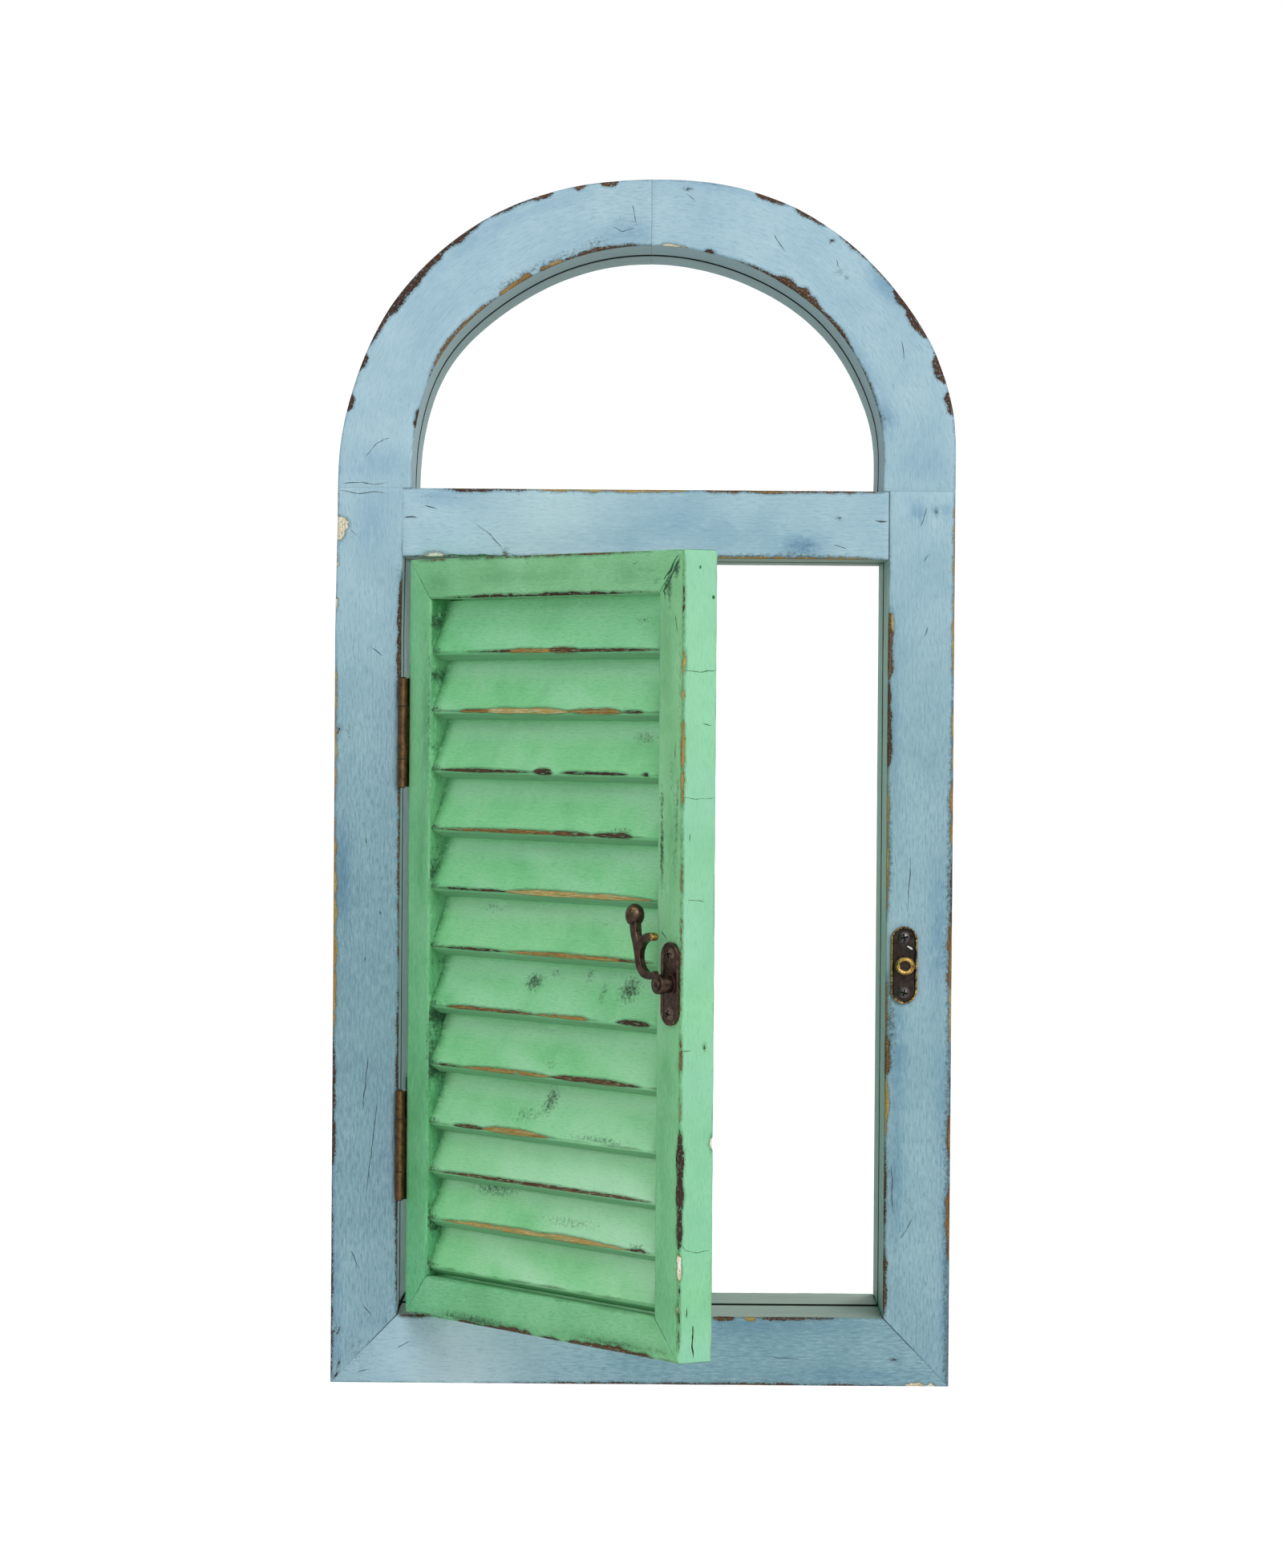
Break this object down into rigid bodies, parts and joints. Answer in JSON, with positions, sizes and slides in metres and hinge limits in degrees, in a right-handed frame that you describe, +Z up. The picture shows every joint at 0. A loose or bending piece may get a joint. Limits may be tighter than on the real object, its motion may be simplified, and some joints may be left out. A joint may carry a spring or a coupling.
{
  "type": "arched shutter mirror",
  "caption": "Arched wall mirror in a deep distressed wooden frame, with a louvered shutter hinged over its lower opening and a swing latch.",
  "frame": {"origin": "centre of the frame's bottom face, halfway through its depth", "axes": "+Z up, +Y towards the wall behind the mirror, so the front faces -Y, +X to the right as seen from the front"},
  "size_m": [0.28, 0.2386, 0.545],
  "materials": {
    "blue_paint": "matt blue paint over primer, brushed on, worn to bare wood at the edges",
    "green_paint": "matt green paint, brushed on, worn to bare wood along the arrises",
    "bare_wood": "bare turned beech",
    "mirror": "silvered float glass",
    "hardboard": "brown hardboard, smooth side out",
    "bronze": "antique bronze, dark with rubbed brassy edges",
    "steel": "zinc plated"
  },
  "bodies": {
    "frame": {"stile_left": "blue_paint", "stile_right": "blue_paint", "bottom_rail": "blue_paint", "transom_rail": "blue_paint", "arch_left": "blue_paint", "arch_right": "blue_paint", "mirror_glass": "mirror", "backing_board": "hardboard", "backing_brads": "steel", "transom_dowels": "bare_wood", "arch_dowels": "bare_wood", "foot_nails": "steel", "hanging_plate": "steel", "hanging_screws": "steel", "keeper_plate": "bronze", "keeper_peg": "bronze", "keeper_screws": "bronze", "hinge_top_frame_leaf": "bronze", "hinge_top_pin": "bronze", "hinge_bottom_frame_leaf": "bronze", "hinge_bottom_pin": "bronze", "frame_hinge_screws": "bronze"},
    "shutter": {"shutter_stile_hinge": "green_paint", "shutter_stile_latch": "green_paint", "shutter_rail_top": "green_paint", "shutter_rail_bottom": "green_paint", "shutter_corner_nails": "steel", "louver_01": "green_paint", "louver_02": "green_paint", "louver_03": "green_paint", "louver_04": "green_paint", "louver_05": "green_paint", "louver_06": "green_paint", "louver_07": "green_paint", "louver_08": "green_paint", "louver_09": "green_paint", "louver_10": "green_paint", "louver_11": "green_paint", "louver_12": "green_paint", "hinge_top_shutter_leaf": "bronze", "hinge_bottom_shutter_leaf": "bronze", "shutter_hinge_screws": "bronze", "latch_plate": "bronze", "latch_rivet": "bronze", "latch_screws": "bronze"},
    "latch_arm": {"latch_arm": "bronze"}
  },
  "joints": [
    {"name": "shutter_swing", "type": "hinge", "parent": "frame", "child": "shutter", "pos_m": [-0.109, -0.0304, 0.2013], "axis": [0, 0, -1], "range_deg": [-55.5, 114.5]},
    {"name": "latch_swing", "type": "hinge", "parent": "shutter", "child": "latch_arm", "pos_m": [0.007, -0.20634, 0.191], "axis": [-0.8241, -0.5664, 0], "range_deg": [-130.4, 149]}
  ]
}
